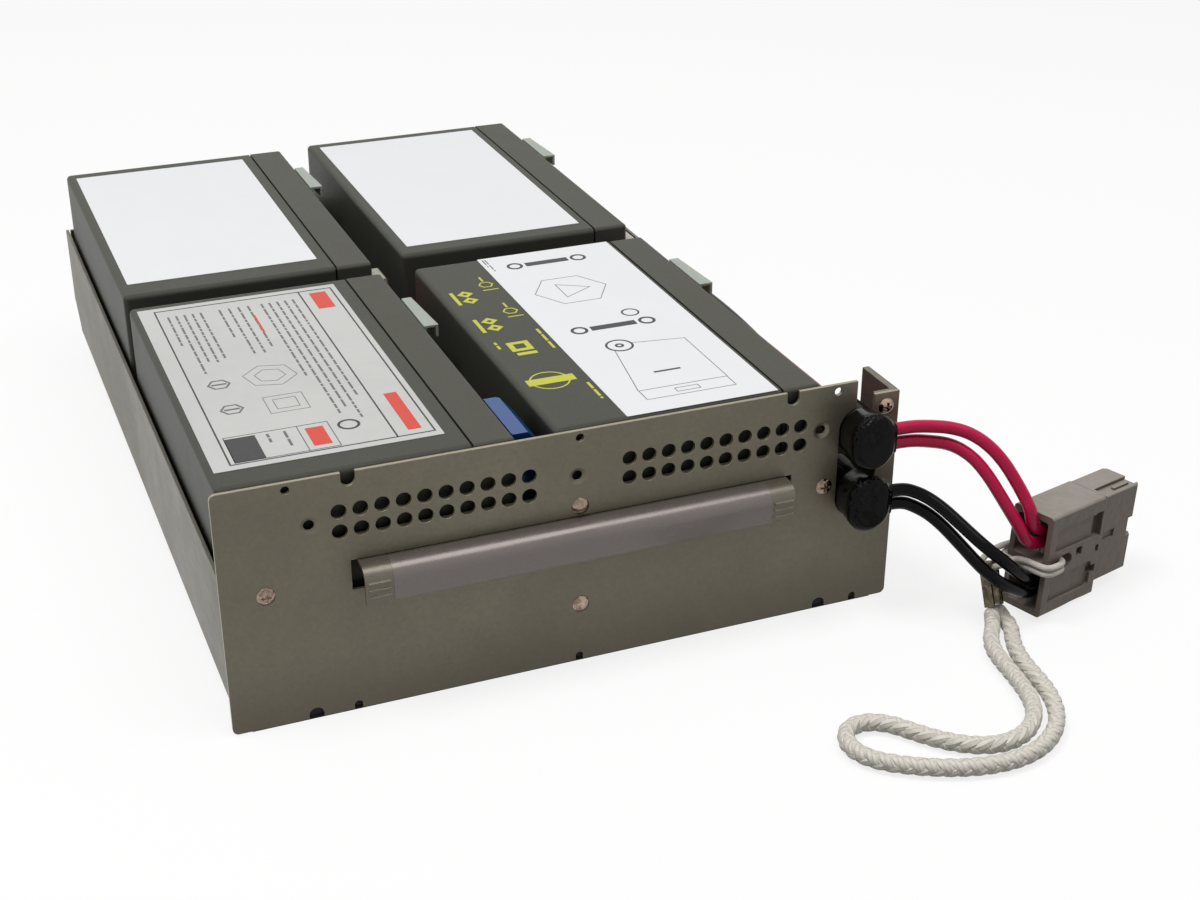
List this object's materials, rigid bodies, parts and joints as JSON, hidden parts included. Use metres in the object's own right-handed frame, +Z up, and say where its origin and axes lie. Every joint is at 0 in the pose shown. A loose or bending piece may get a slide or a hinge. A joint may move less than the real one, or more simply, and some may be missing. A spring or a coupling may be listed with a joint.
{
  "type": "replacement battery cartridge for a rack power supply",
  "caption": "Sheet metal tray of sealed batteries behind a vented front panel, with a pull handle, wires to a flat two-pole power connector and a rope loop.",
  "frame": {"origin": "middle of the object's foot, between the boots' front and the back of the tray, at the panel's lower edge; the wires, the rope and the connector aren't counted", "axes": "+X to the right along the front panel, +Y from the front panel to the back of the tray, +Z up"},
  "size_m": [0.3186, 0.4332, 0.0846],
  "materials": {
    "sheet_steel": "galvanised and lightly brushed",
    "handle_steel": "brushed",
    "foil_label": "satin foil",
    "fastener_metal": "bright, slightly bronze",
    "boot_black": "glossy moulded vinyl",
    "battery_case": "matt moulded",
    "battery_lid": "matt moulded",
    "valve_cover": "matt moulded",
    "terminal_metal": "tinned brass",
    "sleeve_clear": "glossy vinyl",
    "paper_label": "printed film",
    "guide_grey": "satin",
    "cover_blue": "glossy",
    "foam_grey": "closed cell foam",
    "connector_grey": "moulded",
    "contact_silver": "silver plated",
    "wire_red": "smooth insulation",
    "wire_black": "smooth insulation",
    "rope_white": "braided",
    "tie_white": "soft cord",
    "clip_metal": "plated spring steel"
  },
  "bodies": {
    "root": {"tray": "sheet_steel", "front_panel": "sheet_steel", "corner_bracket": "sheet_steel", "pull_handle": "handle_steel", "handle_label": "foil_label", "panel_rivets": "fastener_metal", "panel_screws": "fastener_metal", "bracket_screw": "fastener_metal", "red_cable_boot": "boot_black", "black_cable_boot": "boot_black", "foam_pads": "foam_grey", "terminal_cover": "cover_blue", "connector_housing": "connector_grey", "rope_clip": "clip_metal", "tie_cord": "tie_white", "pull_rope": "rope_white", "red_wire_upper": "wire_red", "red_wire_lower": "wire_red", "black_wire_upper": "wire_black", "black_wire_lower": "wire_black", "jumper_left": "wire_black", "jumper_right": "wire_black", "lead_black_left": "wire_black", "lead_black_right": "wire_black", "lead_red_left": "wire_red", "lead_red_right": "wire_red", "contact_red": "contact_silver", "contact_black": "contact_silver", "contact_spring_red": "contact_silver", "contact_spring_black": "contact_silver", "battery_case_front_left": "battery_case", "battery_lid_front_left": "battery_lid", "vent_cover_front_left": "valve_cover", "terminal_tabs_front_left": "terminal_metal", "terminal_sleeves_front_left": "sleeve_clear", "battery_label_front_left": "foil_label", "wire_guide_front_left": "guide_grey", "battery_case_front_right": "battery_case", "battery_lid_front_right": "battery_lid", "vent_cover_front_right": "valve_cover", "terminal_tabs_front_right": "terminal_metal", "terminal_sleeves_front_right": "sleeve_clear", "battery_label_front_right": "paper_label", "wire_guide_front_right": "guide_grey", "battery_case_rear_left": "battery_case", "battery_lid_rear_left": "battery_lid", "vent_cover_rear_left": "valve_cover", "terminal_tabs_rear_left": "terminal_metal", "terminal_sleeves_rear_left": "sleeve_clear", "battery_label_rear_left": "paper_label", "wire_guide_rear_left": "guide_grey", "battery_case_rear_right": "battery_case", "battery_lid_rear_right": "battery_lid", "vent_cover_rear_right": "valve_cover", "terminal_tabs_rear_right": "terminal_metal", "terminal_sleeves_rear_right": "sleeve_clear", "battery_label_rear_right": "paper_label", "wire_guide_rear_right": "guide_grey"}
  },
  "joints": []
}
